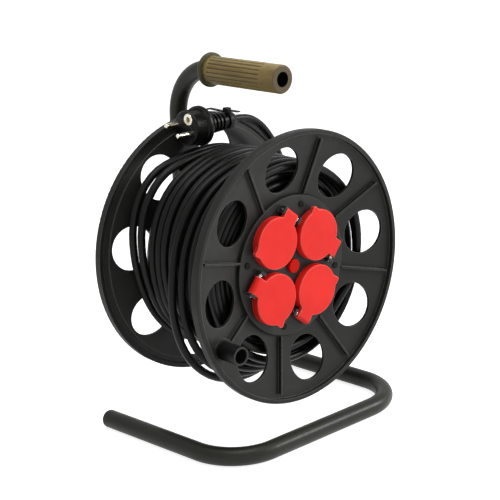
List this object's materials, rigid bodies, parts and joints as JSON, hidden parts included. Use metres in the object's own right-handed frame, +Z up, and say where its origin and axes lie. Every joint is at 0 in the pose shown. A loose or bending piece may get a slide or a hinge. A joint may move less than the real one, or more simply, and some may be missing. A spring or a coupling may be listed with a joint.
{
  "type": "extension cord reel",
  "caption": "Free-standing extension cord reel with a bent-tube stand, a holed drum that turns on an axle, sockets under flap lids and an earthed plug.",
  "frame": {"origin": "on the floor, under the middle of the reel without its cord", "axes": "+Z up, -Y towards the side with the sockets, +X to the right of someone who faces the sockets"},
  "size_m": [0.2783, 0.2116, 0.3733],
  "materials": {
    "tube_paint": "semi-gloss black paint with an olive cast",
    "cap_plastic": "matt black",
    "grip_plastic": "matt olive brown",
    "steel": "zinc plated",
    "drum_plastic": "fine-grained charcoal",
    "plate_plastic": "fine-grained charcoal",
    "seal_rubber": "matt black",
    "lid_plastic": "satin bright red",
    "button_plastic": "satin red",
    "well_plastic": "matt black",
    "contact_brass": "bare brass",
    "contact_nickel": "nickel plated",
    "case_plastic": "matt grey",
    "wire_insulation": "smooth, one colour to a core",
    "knob_plastic": "satin black",
    "cord_rubber": "satin black rubber",
    "plug_rubber": "satin black rubber",
    "tie_plastic": "smooth black"
  },
  "bodies": {
    "stand": {"stand_tube": "tube_paint", "tube_end_cap": "cap_plastic", "handle_grip": "grip_plastic", "axle": "steel", "axle_spacer": "steel", "axle_washer": "steel", "axle_nut": "steel"},
    "drum": {"front_flange": "drum_plastic", "rear_flange": "drum_plastic", "barrel": "drum_plastic", "bearing_bush": "case_plastic", "flange_screws": "steel", "socket_plate": "plate_plastic", "plate_gasket": "seal_rubber", "plate_screws": "steel", "cutout_body": "case_plastic", "terminal_block": "case_plastic", "inner_wires": "wire_insulation", "cord_gland": "case_plastic", "cord_inlet": "cord_rubber", "knob_spindle": "steel", "cord_core": "cord_rubber", "cord_turns": "cord_rubber", "plug_lead": "cord_rubber", "plug_body": "plug_rubber", "plug_pins": "contact_nickel", "plug_earth_socket": "contact_brass", "plug_earth_clips": "contact_nickel", "plug_strain_relief": "plug_rubber", "plug_tie": "tie_plastic", "socket_well_1": "well_plastic", "contact_sleeves_1": "contact_brass", "earth_clips_1": "contact_nickel", "hinge_pin_1": "contact_nickel", "lid_spring_1": "contact_nickel", "socket_well_2": "well_plastic", "contact_sleeves_2": "contact_brass", "earth_clips_2": "contact_nickel", "hinge_pin_2": "contact_nickel", "lid_spring_2": "contact_nickel", "socket_well_3": "well_plastic", "contact_sleeves_3": "contact_brass", "earth_clips_3": "contact_nickel", "hinge_pin_3": "contact_nickel", "lid_spring_3": "contact_nickel", "socket_well_4": "well_plastic", "contact_sleeves_4": "contact_brass", "earth_clips_4": "contact_nickel", "hinge_pin_4": "contact_nickel", "lid_spring_4": "contact_nickel"},
    "flap_lid_1": {"lid_1": "lid_plastic", "lid_seal_1": "seal_rubber"},
    "flap_lid_2": {"lid_2": "lid_plastic", "lid_seal_2": "seal_rubber"},
    "flap_lid_3": {"lid_3": "lid_plastic", "lid_seal_3": "seal_rubber"},
    "flap_lid_4": {"lid_4": "lid_plastic", "lid_seal_4": "seal_rubber"},
    "cutout_button": {"reset_button": "button_plastic"},
    "crank_knob": {"winding_knob": "knob_plastic"}
  },
  "joints": [
    {"name": "drum_spin", "type": "hinge", "parent": "stand", "child": "drum", "pos_m": [-0.0041, -0.00715, 0.175], "axis": [0, 1, 0], "continuous": true},
    {"name": "lid_1_hinge", "type": "hinge", "parent": "drum", "child": "flap_lid_1", "pos_m": [0.04978, -0.07354, 0.18182], "axis": [0.6184, 0, 0.7859], "range_deg": [0, 110], "stiffness_Nm_per_rad": 0.008, "springref_deg": -114.59},
    {"name": "lid_2_hinge", "type": "hinge", "parent": "drum", "child": "flap_lid_2", "pos_m": [-0.01092, -0.07354, 0.22888], "axis": [-0.7859, 0, 0.6184], "range_deg": [0, 110], "stiffness_Nm_per_rad": 0.008, "springref_deg": -114.59},
    {"name": "lid_3_hinge", "type": "hinge", "parent": "drum", "child": "flap_lid_3", "pos_m": [-0.05798, -0.07354, 0.16818], "axis": [-0.6184, 0, -0.7859], "range_deg": [0, 110], "stiffness_Nm_per_rad": 0.008, "springref_deg": -114.59},
    {"name": "lid_4_hinge", "type": "hinge", "parent": "drum", "child": "flap_lid_4", "pos_m": [0.00272, -0.07354, 0.12112], "axis": [0.7859, 0, -0.6184], "range_deg": [0, 110], "stiffness_Nm_per_rad": 0.008, "springref_deg": -114.59},
    {"name": "button_press", "type": "slide", "parent": "drum", "child": "cutout_button", "axis": [0, 1, 0], "range_m": [0, 0.002], "stiffness_N_per_m": 300, "springref_m": -0.004},
    {"name": "knob_spin", "type": "hinge", "parent": "drum", "child": "crank_knob", "pos_m": [-0.10384, -0.07574, 0.11695], "axis": [0, 1, 0], "continuous": true}
  ]
}
